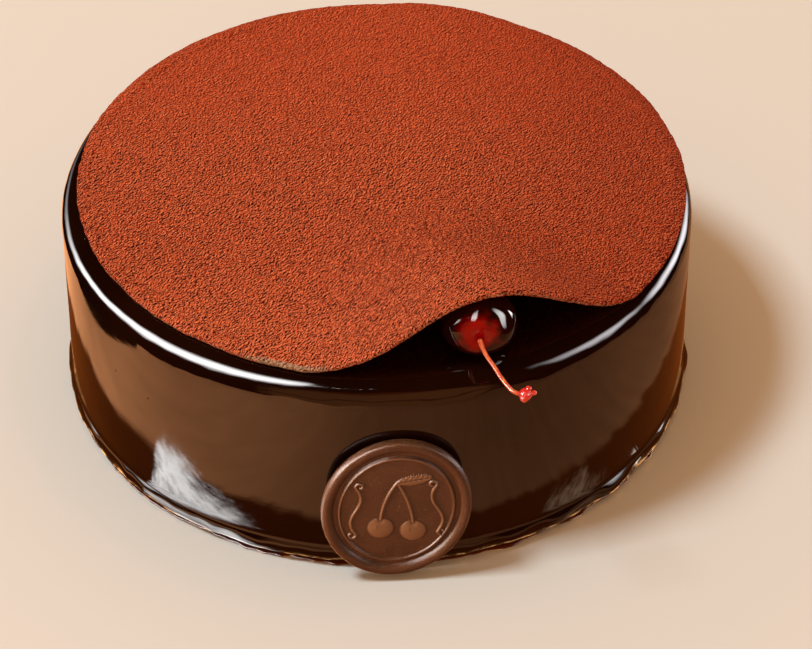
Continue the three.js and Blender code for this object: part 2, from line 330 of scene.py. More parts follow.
def glint(name, ends, strength, tint, streak_turn):
    """A bright patch of the table top for the wall to mirror, broken up by fine streaks."""
    shape, light, fade = band(name, ends, on_table)
    streaks = light.grain(light.place((7, 1, 1), streak_turn), 0.0011, 3, 0.65)
    patches = light.grain(light.place((2.5, 1, 1), streak_turn), 0.006, 3)
    fade = (fade * 1.1 + patches * 1.6 + streaks * 1.5 - 1.45).between(0.25, 1.30) * fade.between(0.0, 0.25)
    seen_in_gloss(name, shape, light, colour(*tint), fade * strength, 1 - fade)


glint("left_glint", [
    (-46, 2, 16, 0.0), (-44.5, 0, 28, 0.8), (-42, -4, 35, 0.95), (-37, -7, 31, 0.9), (-32, -8, 24, 0.8),
    (-27, -7, 18, 0.85), (-22, -5, 12, 0.65), (-16, -3, 7, 0.0),
], strength=9.5, tint=(1, 0.97, 0.95), streak_turn=math.radians(-26))
glint("right_glint", [
    (29, 3, 9, 0.0), (32, 1, 15, 0.5), (36, -1, 22, 0.75), (40, 0, 23, 0.6), (44, 2, 18, 0.3),
    (47, 4, 14, 0.0),
], strength=1.6, tint=(1, 0.62, 0.38), streak_turn=math.radians(15))
glint("small_glint", [
    (52.5, 4, 8, 0.0), (54, 3, 11, 1.0), (56, 5, 12, 0.0),
], strength=7, tint=(1, 0.88, 0.74), streak_turn=0.0)

# ---- the glazed cake ----
# A mousse cake out of a 180 mm ring, frozen and covered with a poured cocoa mirror glaze. The glaze runs
# down the wall, gathers there in a rolled lip over the foot, and leaves a thin red-brown film under it.

CAKE_RADIUS = 90.5
CAKE_HEIGHT = 66.0
SHOULDER_RADIUS = 8.0
WALL_TOP = CAKE_HEIGHT - SHOULDER_RADIUS
FILM_TOP = 1.2
LIP_BOTTOM = 1.6
LIP_ROOT = (90.8, 2.45)
LIP_RADIUS = 91.5
LIP_HEIGHT = 3.8
LIP_TOP = 6.8
SAG_HEIGHT = 59.5
SAG_REACH = 5
WAVY_TO = 42
WAVY_FADE = 18
EVEN_RADIUS = 83
WALL_ROWS = 24
SHOULDER_ROWS = 26
GLAZE_STEPS = 480


def bend(start, control, end, steps):
    """Points on a curve from start to end that leans to control, without its first point."""
    start, control, end = Vector(start), Vector(control), Vector(end)
    return [start.lerp(control, t).lerp(control.lerp(end, t), t)
            for t in (step / steps for step in range(1, steps + 1))]


def turned(profile, steps):
    """Spins (radius, height) points in millimetres about Z into a closed shape in millimetres."""
    shape = bmesh.new()
    corners = [shape.verts.new((point[0], 0, point[1])) for point in profile]
    for first, second in zip(corners, corners[1:]):
        shape.edges.new((first, second))
    bmesh.ops.spin(shape, geom=shape.verts[:] + shape.edges[:], cent=(0, 0, 0), axis=(0, 0, 1),
                   angle=2 * math.pi, steps=steps, use_merge=True)
    bmesh.ops.remove_doubles(shape, verts=shape.verts, dist=1e-4)
    bmesh.ops.recalc_face_normals(shape, faces=shape.faces)
    return shape


glaze_profile = [(0, 0), (50, 0), (80, 0), (88, 0), (89.4, 0), (89.9, 0.08), (90.1, 0.3), (89.9, 0.55)]
glaze_profile += [(89.4, 0.75), (88.7, 0.9), (88.3, 1.2), (88.2, 1.7), (88.5, 2.1), (89.3, 2.35)]
glaze_profile += [(90.2, 2.4), LIP_ROOT]
glaze_profile += bend(LIP_ROOT, (91.4, 2.6), (LIP_RADIUS, LIP_HEIGHT), 6)
glaze_profile += bend((LIP_RADIUS, LIP_HEIGHT), (LIP_RADIUS, 5.4), (90.6, LIP_TOP), 9)
for row in range(1, WALL_ROWS + 1):
    glaze_profile.append((CAKE_RADIUS, LIP_TOP + (WALL_TOP - LIP_TOP) * row / WALL_ROWS))
for row in range(1, SHOULDER_ROWS + 1):
    lean = math.pi / 2 * row / SHOULDER_ROWS
    glaze_profile.append((CAKE_RADIUS - SHOULDER_RADIUS * (1 - math.cos(lean)),
                          WALL_TOP + SHOULDER_RADIUS * math.sin(lean)))
glaze_profile += [(radius, CAKE_HEIGHT) for radius in (76, 68, 58, 46, 32, 16, 0)]
glaze_shape = turned(glaze_profile, GLAZE_STEPS)

for vertex in glaze_shape.verts:
    radius = math.hypot(vertex.co.x, vertex.co.y)
    height = vertex.co.z
    if radius < EVEN_RADIUS:
        continue
    round_cake = Vector((vertex.co.x, vertex.co.y, 0)) / radius
    shoulder = hump((height - SAG_HEIGHT) / SAG_REACH)
    sag = 0.15 * shoulder * noise.noise(round_cake * 8 + Vector((0, 0, height / 3.5)))
    sag += 0.07 * shoulder * noise.noise(round_cake * 24 + Vector((4, 0, height / 2.2)))
    if height > WALL_TOP + 2:
        vertex.co += round_cake * sag
        continue
    wall = hump(max(0.0, (height - WAVY_TO) / WAVY_FADE))
    swell = sag + 0.16 * wall * noise.noise(round_cake * 3.4 + Vector((0, 0, height / 34)))
    swell += 0.05 * wall * noise.noise(round_cake * 9.0 + Vector((0, 0, height / 7)))
    lip = hump((height - LIP_HEIGHT) / (LIP_TOP - LIP_HEIGHT)) if height > LIP_BOTTOM else 0.0
    swell += 0.75 * lip * noise.noise(round_cake * 6.5 + Vector((3, 0, 0)))
    swell += 0.30 * lip * noise.noise(round_cake * 17.0 + Vector((0, 5, height / 6)))
    film = max(0.0, 1 - height / FILM_TOP)
    swell += film * (1.6 * noise.noise(round_cake * 9.0) + 0.8 * noise.noise(round_cake * 27.0))
    vertex.co += round_cake * swell
    vertex.co.z += 0.8 * lip * noise.noise(round_cake * 8.0 + Vector((0, 0, 7)))
    vertex.co.z += 0.4 * lip * noise.noise(round_cake * 24.0 + Vector((0, 0, 9)))
bmesh.ops.scale(glaze_shape, vec=(MM, MM, MM), verts=glaze_shape.verts)

glaze = Recipe(bpy.data.materials.new("mirror glaze"))
glaze_point = glaze.node("ShaderNodeTexCoord", output="Object")
glaze_height = glaze.node("ShaderNodeSeparateXYZ", {}, {"Vector": glaze_point}, "Z")
glaze_flow = glaze.grain(glaze.place(), 0.035, 2)
glaze_tone = glaze.mix(glaze_flow.between(0.35, 0.7), colour(0.0085, 0.0012, 0.0002),
                       colour(0.0130, 0.0022, 0.0004))
glaze_film = glaze_height.between(0.0008, 0.0014, 1.0, 0.0)
glaze_tone = glaze.mix(glaze_film, glaze_tone, colour(0.12, 0.018, 0.004))
glaze_streaks = glaze.grain(glaze.place((6, 6, 1)), 0.0011, 2, 0.6)
glaze_sway = glaze.grain(glaze.place((2, 2, 1)), 0.012, 1)
glaze_bumps = glaze_streaks * 0.09 + glaze_sway
glaze_dents = glaze.node("ShaderNodeBump", {}, {
    "Strength": 0.35, "Distance": 0.00025, "Height": glaze_bumps,
})
pit_cells = glaze.node("ShaderNodeTexVoronoi", {}, {"Vector": glaze_point, "Scale": 110.0})
pit_chance = glaze.node("ShaderNodeSeparateColor", {}, {"Color": pit_cells.other("Color")}, "Red")
pit_size = pit_chance.between(0.86, 1.0) * 0.06
pit = pit_cells / (pit_size + 0.0001)
pit_depth = pit.between(0.0, 1.0, -1.0, 0.0) * pit_chance.between(0.86, 0.88)
glaze_pits = glaze.node("ShaderNodeBump", {}, {
    "Strength": 0.6, "Distance": 0.0003, "Height": pit_depth, "Normal": glaze_dents,
})
glaze_gloss = glaze.grain(glaze.place(), 0.02, 3).between(0.3, 0.8, 0.04, 0.09)
glaze_skin = glaze.node("ShaderNodeBsdfPrincipled", {}, {
    "Base Color": glaze_tone, "Roughness": glaze_gloss, "IOR": 1.46, "Normal": glaze_pits,
})
glaze.node("ShaderNodeOutputMaterial", {}, {"Surface": glaze_skin})

glazed_cake = finished("mirror_glaze", glaze_shape, glaze)
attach(glazed_cake, "root")
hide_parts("glazed_cake")

# ---- the cocoa-velvet disc ----
# A thin soft chocolate disc, sprayed with cocoa butter while frozen, which gives it a matt, finely wrinkled
# velvet. It lies on the glaze with its edge sagging over the shoulder, and the cherry lifts one wave in it.

DISC_RADIUS = 86.8
DISC_THICKNESS = 1.6
DISC_MIDDLE = Vector((1.5, 0.6))
DISC_GRID = 270
NEARBY = 0.5
EDGE_ROUNDING = 0.45
EDGE_SAG = 1.7
EDGE_SAG_REACH = 11
REST_GAP = 0.3
REST_HEIGHT = CAKE_HEIGHT + REST_GAP
SHOULDER_REACH = SHOULDER_RADIUS + 0.55
CREST_ANGLE = -71.5
CREST_LIFT = 21.6
WAVE_LEFT = 38
WAVE_RIGHT = 36.5
WAVE_DRAWS_IN = 2
WAVE_ROOT = 0.2
WAVE_RISE = math.radians(72)
BACK_BENDS = [(77, 22, 1.6), (112, 26, -0.9)]


def lowest_rest(x, y):
    """The lowest that the disc's underside can lie over the top and the shoulder."""
    past = math.hypot(x, y) - (CAKE_RADIUS - SHOULDER_RADIUS)
    if past <= 0:
        return REST_HEIGHT
    return WALL_TOP + math.sqrt(max(0.0, SHOULDER_REACH ** 2 - past ** 2))


def disc_underside(radius, angle):
    """A point under the laid disc, for a point of the flat one. Its back edge is bent up and down."""
    share = radius / DISC_RADIUS
    turn = (math.degrees(angle) - CREST_ANGLE) * share ** 0.55
    wave = hump(turn / WAVE_LEFT) ** 1.55 if turn < 0 else hump(turn / WAVE_RIGHT)
    drawn = radius - WAVE_DRAWS_IN * wave * share ** 2
    x = DISC_MIDDLE.x + drawn * math.cos(angle)
    y = DISC_MIDDLE.y + drawn * math.sin(angle)
    near_edge = max(0.0, 1 - (DISC_RADIUS - radius) / EDGE_SAG_REACH)
    rest = REST_HEIGHT - EDGE_SAG * near_edge ** 2
    outer = max(0.0, share * 3 - 2)
    for middle, reach, lift in BACK_BENDS:
        rest += lift * hump((math.degrees(angle) - middle) / reach) * outer
    lean = WAVE_RISE * max(0.0, (share - WAVE_ROOT) / (1 - WAVE_ROOT))
    outwards = (math.sin(lean) / math.sin(WAVE_RISE)) ** 1.3
    return Vector((x, y, max(rest, lowest_rest(x, y)) + CREST_LIFT * wave * outwards))


def disc_point(radius, angle, above):
    """A point of the laid disc, above its underside by that much, square to the sheet."""
    base = disc_underside(radius, angle)
    out = disc_underside(radius + NEARBY, angle) - disc_underside(max(0.0, radius - NEARBY), angle)
    step = NEARBY / DISC_RADIUS
    along = disc_underside(radius, angle + step) - disc_underside(radius, angle - step)
    square = out.cross(along)
    if square.length < 1e-9:
        return base + Vector((0, 0, above))
    return base + square.normalized() * above


def rounded_grid(steps, radius, height):
    """A square grid drawn out to a round sheet, as a bmesh at that height."""
    shape = bmesh.new()
    bmesh.ops.create_grid(shape, x_segments=steps, y_segments=steps, size=1)
    for vertex in shape.verts:
        x, y = vertex.co.x, vertex.co.y
        vertex.co = (radius * x * math.sqrt(1 - y * y / 2), radius * y * math.sqrt(1 - x * x / 2), height)
    return shape


def drawn_on(shape, rings):
    """Extrudes the open edge of a round sheet through rings of (radius, height) and closes it."""
    edges = [edge for edge in shape.edges if edge.is_boundary]
    for radius, height in rings:
        made = bmesh.ops.extrude_edge_only(shape, edges=edges)["geom"]
        edges = [part for part in made if isinstance(part, bmesh.types.BMEdge)]
        ring = [part for part in made if isinstance(part, bmesh.types.BMVert)]
        for vertex in ring:
            grown = radius / math.hypot(vertex.co.x, vertex.co.y)
            vertex.co = (vertex.co.x * grown, vertex.co.y * grown, height)
    bmesh.ops.pointmerge(shape, verts=ring, merge_co=(0, 0, rings[-1][1]))
    bmesh.ops.recalc_face_normals(shape, faces=shape.faces)


disc_shape = rounded_grid(DISC_GRID, DISC_RADIUS - EDGE_ROUNDING, DISC_THICKNESS)
disc_rim = [(DISC_RADIUS - 0.13, DISC_THICKNESS - 0.13), (DISC_RADIUS, DISC_THICKNESS - EDGE_ROUNDING),
            (DISC_RADIUS, 0.8), (DISC_RADIUS, 0.4), (DISC_RADIUS - 0.12, 0.12), (DISC_RADIUS - 0.4, 0)]
disc_rim += [(radius, 0) for radius in (84, 80, 74, 66, 57, 47, 36, 24, 12)]
drawn_on(disc_shape, disc_rim)

WRINKLE_TURN = math.radians(48)
WAVY_FROM = 70
WORN_ANGLE = -107.3
WORN_REACH = 19
WORN_FROM = 84.6
edge_layer = disc_shape.verts.layers.float.new("edge")
for vertex in disc_shape.verts:
    x, y, above = vertex.co
    radius = math.hypot(x, y)
    angle = math.atan2(y, x)
    cut = 0.5 if 0.2 < above < 1.3 and radius > DISC_RADIUS - 0.2 else 0.0
    worn = 0.8 * hump((math.degrees(angle) - WORN_ANGLE) / WORN_REACH)
    worn *= min(1.0, max(0.0, (radius - WORN_FROM) / 1.6))
    vertex[edge_layer] = max(cut, worn if above > 0.2 else 0.0)
    if above > DISC_THICKNESS - 0.3:
        along = x * math.cos(WRINKLE_TURN) + y * math.sin(WRINKLE_TURN)
        across = y * math.cos(WRINKLE_TURN) - x * math.sin(WRINKLE_TURN)
        above += 0.16 * noise.noise(Vector((along * 0.30, across * 0.62, 0)))
        above += 0.10 * noise.noise(Vector((along * 0.55, across * 1.05, 4)))
    rim = max(0.0, (radius - WAVY_FROM) / (DISC_RADIUS - WAVY_FROM))
    around = Vector((math.cos(angle), math.sin(angle), 0))
    radius += rim * (0.5 * noise.noise(around * 5) + 0.22 * noise.noise(around * 26))
    vertex.co = disc_point(radius, angle, above)
bmesh.ops.scale(disc_shape, vec=(MM, MM, MM), verts=disc_shape.verts)

velvet = Recipe(bpy.data.materials.new("cocoa velvet"))
WRINKLE_SIZE = 0.00053
WRINKLE_LONGER = 1.55
LIT_FROM = (0.000082, -0.000125)


def wrinkles(aside):
    """The wrinkled relief of the cocoa. Two shifted copies of it give painted light and shade on its slopes.
    """
    where = velvet.place((WRINKLE_LONGER, 1, 1), WRINKLE_TURN, (aside * LIT_FROM[0], aside * LIT_FROM[1], 0))
    return velvet.grain(where, WRINKLE_SIZE, 1, 0.5, 0.6)


velvet_grain = wrinkles(0)
velvet_dust = velvet.grain(velvet.place(), 0.00036, 0)
velvet_cloud = velvet.grain(velvet.place(), 0.03, 2)
# Painted light on the slopes that face the light and painted shade on those that face away, with fine dust
# specks.
painted_slopes_and_dust = wrinkles(-1) - wrinkles(1) + (velvet_dust - 0.5) * 0.25
velvet_side = velvet.node("ShaderNodeSeparateXYZ", {}, {"Vector": velvet.place()})
# The painted light and shade of the wrinkles is strongest at the front and fades towards the back.
painted_relief_strength = velvet_side.other("Y").between(-0.02, 0.07, 1.12, 0.6)
velvet_ground = velvet.mix(velvet_cloud.between(0.3, 0.7) * 0.2, colour(0.66, 0.063, 0.0138),
                           colour(0.50, 0.046, 0.0105))
# Painted light: the velvet is paler towards the front.
velvet_ground = velvet.mix(velvet_side.other("Y").between(-0.035, -0.075) * 0.45, velvet_ground,
                           colour(0.95, 0.145, 0.044))
# Painted shade on the slopes turned away from the light, then painted light on those turned to it.
velvet_tone = velvet.mix(painted_slopes_and_dust.between(0.0, -0.145) * painted_relief_strength, velvet_ground,
                         colour(0.055, 0.0024, 0.0006))
velvet_tone = velvet.mix(painted_slopes_and_dust.between(0.0, 0.150) * painted_relief_strength, velvet_tone, colour(1.0, 0.205, 0.064))
# Painted shade in the hollows between the wrinkles.
velvet_tone = velvet.mix(velvet_grain.between(0.43, 0.31) * 0.85 * painted_relief_strength, velvet_tone,
                         colour(0.060, 0.0026, 0.0007))
# Painted shade: the velvet is darker towards the right, away from the daylight.
velvet_tone = velvet.mix(velvet_side.between(0.0, 0.08) * 0.40, velvet_tone, colour(0.30, 0.020, 0.004))
velvet_edge = velvet.node("ShaderNodeAttribute", {"attribute_name": "edge"}, output="Fac")
velvet_rubbed = velvet.grain(velvet.place(), 0.0010, 3, 0.7) * 2.2 + painted_slopes_and_dust * 1.5
velvet_tone = velvet.mix((velvet_edge * velvet_rubbed).between(0.42, 0.85) * 0.9, velvet_tone,
                         colour(0.54, 0.28, 0.14))
velvet_relief = velvet.node("ShaderNodeBump", {}, {
    "Strength": 1.0, "Distance": 0.0018, "Height": velvet_grain,
})
velvet_skin = velvet.node("ShaderNodeBsdfPrincipled", {}, {
    "Base Color": velvet_tone, "Roughness": 0.9, "Specular IOR Level": 0.05, "Normal": velvet_relief,
})
velvet.node("ShaderNodeOutputMaterial", {}, {"Surface": velvet_skin})

velvet_disc = finished("velvet_disc", disc_shape, velvet)
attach(velvet_disc, "root")
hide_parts("cocoa_disc")

# ---- the cherry ----
# A whole dark cherry steeped in spirit, laid on its side on the glaze under the wave. Its skin is nearly
# black and very glossy, and lets red light through round the dimple where the stem is fixed.

CHERRY_RADIUS = 9.6
CHERRY_BREADTH = 1.09
CHERRY_LENGTH = 17.6
CHERRY_PLACE = Vector((27.2, -74.6, REST_HEIGHT + CHERRY_RADIUS))
CHERRY_TURN = math.radians(2)
DIMPLE_DEPTH = 2.3
DIMPLE_REACH = math.radians(20)

cherry_shape = bmesh.new()
bmesh.ops.create_uvsphere(cherry_shape, u_segments=96, v_segments=64, radius=1)
for vertex in cherry_shape.verts:
    way = vertex.co.copy()
    from_stem = math.acos(max(-1.0, min(1.0, way.z)))
    around = math.atan2(way.y, way.x)
    sunk = DIMPLE_DEPTH * math.exp(-(from_stem / DIMPLE_REACH) ** 2)
    shoulder = hump((math.degrees(from_stem) - 42) / 34)
    lumps = shoulder * (0.22 * math.cos(2 * around + 0.5) + 0.12 * math.cos(3 * around))
    lumps += 0.10 * noise.noise(way * 2.6)
    vertex.co.x = (CHERRY_RADIUS + lumps) * way.x * CHERRY_BREADTH
    vertex.co.y = (CHERRY_RADIUS + lumps) * way.y
    vertex.co.z = (CHERRY_LENGTH / 2 + lumps) * way.z - sunk
laid = Matrix.Translation(CHERRY_PLACE) @ Matrix.Rotation(CHERRY_TURN, 4, "Z")
laid = Matrix.Scale(MM, 4) @ laid @ Matrix.Rotation(math.radians(90), 4, "X")
bmesh.ops.transform(cherry_shape, matrix=laid, verts=cherry_shape.verts)

skin = Recipe(bpy.data.materials.new("cherry skin"))
dimple = CHERRY_PLACE + Vector((-0.4, -CHERRY_LENGTH / 2 + 1, 1.6))
away = skin.node("ShaderNodeVectorMath", {"operation": "DISTANCE"},
                 {0: skin.place(), 1: tuple(dimple * MM)}, "Value")
skin_mottle = skin.grain(skin.place(), 0.0035, 3)
# The red round the dimple is painted into the skin's colour for the light that shines through the skin
# there.
painted_red_glow = (away + (skin_mottle - 0.4) * 0.008).between(0.0030, 0.0085, 1.0, 0.0)
skin_tone = skin.mix(painted_red_glow, colour(0.018, 0.0025, 0.0012), colour(0.33, 0.0010, 0.0010))
skin_dents = skin.node("ShaderNodeBump", {}, {
    "Strength": 0.25, "Distance": 0.0003, "Height": skin.grain(skin.place(), 0.003, 2),
})
skin_shader = skin.node("ShaderNodeBsdfPrincipled", {}, {
    "Base Color": skin_tone, "Roughness": 0.4, "Specular IOR Level": 0.0, "Coat Weight": 1.0,
    "Coat Roughness": 0.03, "Coat IOR": 1.3, "Normal": skin_dents,
})
skin.node("ShaderNodeOutputMaterial", {}, {"Surface": skin_shader})

cherry = finished("steeped_cherry", cherry_shape, skin)


def only_for(light, piece, state):
    """Lets a light or panel reach that piece alone, or everything but it."""
    group = bpy.data.collections.new(light.name + " and " + piece.name)
    group.objects.link(piece)
    group.collection_objects[0].light_linking.link_state = state
    light.light_linking.receiver_collection = group


# The cherry mirrors four small windows of its own in place of the two long ones.
CHERRY_WINDOWS = [
    [(-88, -4, 8, 0.0), (-80, -10, 22, 0.9), (-62, -2, 28, 1.0), (-46, 14, 34, 0.0)],
    [(-10, 30, 60, 0.0), (-6, 26, 62, 0.9), (5, 24, 64, 1.0), (9, 34, 58, 0.0)],
    [(48, 8, 46, 0.0), (53, -2, 52, 0.9), (68, -4, 54, 1.0), (76, 10, 38, 0.0)],
    [(94, -8, 14, 0.0), (99, -12, 18, 1.0), (111, -10, 14, 0.9), (118, -6, 6, 0.0)],
]
for panel in (left_window, right_window):
    only_for(panel, cherry, "EXCLUDE")
for number, ends in enumerate(CHERRY_WINDOWS):
    panel = window(f"cherry_window_{number}", ends, strength=36, tint=(1, 0.97, 0.95))
    only_for(panel, cherry, "INCLUDE")
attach(cherry, "root")
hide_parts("cherry")

# ---- the stem ----
# The cherry's own stalk, dyed orange-red by the syrup. It grows out of the dimple, curves down over the
# shoulder of the cake, and ends in the lumpy knob that held it to the twig.

STEM_RADIUS = 0.55
STEM_ROOT = 1.35
STEM_STEPS = 7
STEM_PATH = [Vector(place) for place in (
    (27.3, -81.7, 75.2), (28.1, -85.0, 74.8), (29.2, -87.9, 74.5), (30.9, -91.3, 74.1),
    (32.4, -94.4, 73.4), (34.3, -97.4, 72.6), (36.0, -99.1, 72.0), (38.6, -99.6, 71.4),
)]
KNOB_MIDDLE = Vector((39.1, -99.1, 71.4))
KNOB_LUMPS = [
    (Vector((38.9, -99.2, 71.3)), 1.75), (Vector((39.7, -98.6, 72.7)), 0.9),
    (Vector((41.2, -98.9, 71.6)), 0.8), (Vector((38.5, -100.2, 70.7)), 1.1),
]


def along_path(points, steps):
    """Evenly stepped places on a smooth curve through the points."""
    ends = [2 * points[0] - points[1], *points, 2 * points[-1] - points[-2]]
    places = []
    for before, start, end, after in zip(ends, ends[1:], ends[2:], ends[3:]):
        for step in range(steps):
            t = step / steps
            places.append(0.5 * (2 * start + (end - before) * t
                                 + (2 * before - 5 * start + 4 * end - after) * t ** 2
                                 + (3 * start - 3 * end + after - before) * t ** 3))
    return [*places, points[-1]]


stem_places = along_path(STEM_PATH, STEM_STEPS)
stem_shape = bmesh.new()
heading = (stem_places[1] - stem_places[0]).normalized()
stem_frame = Matrix.Translation(stem_places[0]) @ heading.to_track_quat("Z", "Y").to_matrix().to_4x4()
bmesh.ops.create_circle(stem_shape, cap_ends=True, segments=16, radius=STEM_RADIUS * STEM_ROOT,
                        matrix=stem_frame)
stem_edges = stem_shape.edges[:]
stem_size = STEM_ROOT
for number, (before, place) in enumerate(zip(stem_places, stem_places[1:]), 1):
    share = number / (len(stem_places) - 1)
    made = bmesh.ops.extrude_edge_only(stem_shape, edges=stem_edges)["geom"]
    stem_edges = [part for part in made if isinstance(part, bmesh.types.BMEdge)]
    ring = [part for part in made if isinstance(part, bmesh.types.BMVert)]
    following = stem_places[min(number + 1, len(stem_places) - 1)]
    turn = heading.rotation_difference((following - before).normalized())
    heading = (following - before).normalized()
    size = 1 + 0.35 * math.exp(-share * 9) + 0.15 * share ** 4 + 0.05 * noise.noise(place * 0.9)
    for vertex in ring:
        vertex.co = place + turn @ (vertex.co - before) * (size / stem_size)
    stem_size = size
bmesh.ops.contextual_create(stem_shape, geom=stem_edges)

knob_start = len(stem_shape.verts)
bmesh.ops.create_icosphere(stem_shape, subdivisions=5, radius=1)
stem_shape.verts.ensure_lookup_table()
for vertex in stem_shape.verts[knob_start:]:
    way = vertex.co.normalized()
    reach = 0.0
    for middle, size in KNOB_LUMPS:
        offset = middle - KNOB_MIDDLE
        along = offset.dot(way)
        inside = size ** 2 - offset.length_squared + along ** 2
        if inside > 0:
            reach = max(reach, along + math.sqrt(inside))
    vertex.co = KNOB_MIDDLE + way * (reach + 0.12 * noise.noise(way * 3))
knob_verts = stem_shape.verts[knob_start:]
for _ in range(3):
    bmesh.ops.smooth_vert(stem_shape, verts=knob_verts, factor=0.5, use_axis_x=True, use_axis_y=True,
                          use_axis_z=True)
bmesh.ops.recalc_face_normals(stem_shape, faces=stem_shape.faces)
bmesh.ops.scale(stem_shape, vec=(MM, MM, MM), verts=stem_shape.verts)

stalk = Recipe(bpy.data.materials.new("cherry stalk"))
stalk_streaks = stalk.grain(stalk.place((1, 3, 1)), 0.0007, 2)
stalk_tone = stalk.mix(stalk_streaks.between(0.3, 0.7), colour(0.68, 0.055, 0.016), colour(0.92, 0.20, 0.06))
from_knob = stalk.node("ShaderNodeVectorMath", {"operation": "DISTANCE"},
                       {0: stalk.place(), 1: tuple(KNOB_MIDDLE * MM)}, "Value")
stalk_tone = stalk.mix(from_knob.between(0.0035, 0.0018), stalk_tone, colour(0.80, 0.022, 0.010))
stalk_dents = stalk.node("ShaderNodeBump", {}, {
    "Strength": 0.4, "Distance": 0.0002, "Height": stalk_streaks,
})
stalk_skin = stalk.node("ShaderNodeBsdfPrincipled", {}, {
    "Base Color": stalk_tone, "Roughness": 0.3, "Coat Weight": 0.5, "Coat Roughness": 0.1,
    "Subsurface Weight": 0.2, "Subsurface Scale": 0.001, "Normal": stalk_dents,
})
stalk.node("ShaderNodeOutputMaterial", {}, {"Surface": stalk_skin})

cherry_stem = finished("cherry_stalk", stem_shape, stalk)
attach(cherry_stem, "root")
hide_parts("cherry_stem")

# ---- the chocolate seal ----
# An oval plaque of tempered milk chocolate, cast in a mould with a round rim, a thin line and a picture of
# two cherries between scrolls, and pressed against the glaze while it was still tacky.

SEAL_RADIUS = 20.65
SEAL_EDGE = 20.3
SEAL_GRID = 250
OVAL_TURN = math.radians(-12)
OVAL_STRETCH = 1.145
FIELD_HEIGHT = 2.1
GROOVE_HEIGHT = 1.7
LINE_PLACE = 15.75
LINE_HALF = 0.5
LINE_HEIGHT = 0.55
RIM_WIDTH = 3.4
RIM_CREST = 20.2
RIM_STEPS = 60
SEAL_ANGLE = math.radians(-87.05)
SEAL_BACK = 92.15
SEAL_MIDDLE = 25.3
SEAL_TILT = math.radians(87)

rim_start = SEAL_RADIUS - RIM_WIDTH
rim_points = [Vector((SEAL_RADIUS, 1.1)), Vector((SEAL_RADIUS + 0.05, 3.1)), Vector((rim_start + 1.5, 4.0)),
              Vector((rim_start, GROOVE_HEIGHT))]


def rim_at(t):
    """A point on the smooth curve of the rim, as (radius, height)."""
    first, second, third, last = rim_points
    u = 1 - t
    return first * u ** 3 + 3 * second * u * u * t + 3 * third * u * t * t + last * t ** 3


rim_curve = [rim_at(step / RIM_STEPS) for step in range(RIM_STEPS + 1)]


def rim_height(radius):
    """The height of the rim at that radius."""
    for outer, inner in zip(rim_curve, rim_curve[1:]):
        if outer.y > 2.0 and inner.x <= radius <= outer.x or inner is rim_curve[-1]:
            share = (radius - inner.x) / max(1e-6, outer.x - inner.x)
            return inner.y + (outer.y - inner.y) * min(1.0, max(0.0, share))
    return GROOVE_HEIGHT


def eased(value):
    """Rises smoothly from 0 to 1."""
    value = min(1.0, max(0.0, value))
    return value * value * (3 - 2 * value)


def blank_height(radius):
    """The height of the seal without its picture: rim, groove, thin line and field."""
    if radius >= rim_start:
        return rim_height(radius)
    from_line = abs(radius - LINE_PLACE)
    ridge = LINE_HEIGHT * math.sqrt(max(0.0, 1 - (from_line / LINE_HALF) ** 2))
    step = eased((LINE_PLACE + 0.45 - radius) / 0.7)
    return GROOVE_HEIGHT + (FIELD_HEIGHT - GROOVE_HEIGHT) * step + ridge


def from_stroke(point, stroke):
    """How far a point is from a line of points."""
    nearest = 99.0
    for start, end in zip(stroke, stroke[1:]):
        run = end - start
        share = max(0.0, min(1.0, (point - start).dot(run) / run.length_squared))
        nearest = min(nearest, (point - start - run * share).length)
    return nearest


FRUIT = [(Vector((-4.4, -6.3)), 3.7), (Vector((4.5, -7.6)), 3.7)]
FRUIT_HEIGHT = 0.75
SPRIG_TIP = Vector((0.2, 9.4))
SPRIG_HALF = 0.42
SPRIG_HEIGHT = 0.5
LEAF_MIDDLE = Vector((4.9, 10.2))
LEAF_TURN = 0.175
LEAF_HALF_LENGTH = 5.2
LEAF_HALF_BREADTH = 2.1
LEAF_HEIGHT = 0.5
VINE_ASIDE = 11.2
VINE_SWAY = 1.5
VINE_REACH = 8.5
VINE_STEPS = 24
CURL_SIZE = 1.3
CURL_TURN = 4.6
CURL_HALF = 0.34
CURL_STEPS = 14
strokes = []
for middle, size in FRUIT:
    top = middle + Vector((0, size - 0.6))
    knee = Vector((middle.x * 0.72, (middle.y + size + SPRIG_TIP.y) / 2))
    strokes.append(([top, *bend(top, knee * 1.15, SPRIG_TIP, 10)], SPRIG_HALF))
for side in (-1, 1):
    vine = []
    for step in range(VINE_STEPS + 1):
        share = 2 * step / VINE_STEPS - 1
        aside = VINE_ASIDE - VINE_SWAY * math.sin(math.pi * share)
        vine.append(Vector((side * aside, VINE_REACH * share)))
    strokes.append((vine, SPRIG_HALF))
    for end, way in ((vine[-1], 1), (vine[0], -1)):
        curl = []
        for step in range(CURL_STEPS + 1):
            turn = step / CURL_STEPS * CURL_TURN
            size = CURL_SIZE * (1 - 0.6 * step / CURL_STEPS)
            inwards = -side * way * (CURL_SIZE - size * math.cos(turn))
            curl.append(end + Vector((inwards, way * size * math.sin(turn))))
        strokes.append((curl, CURL_HALF))


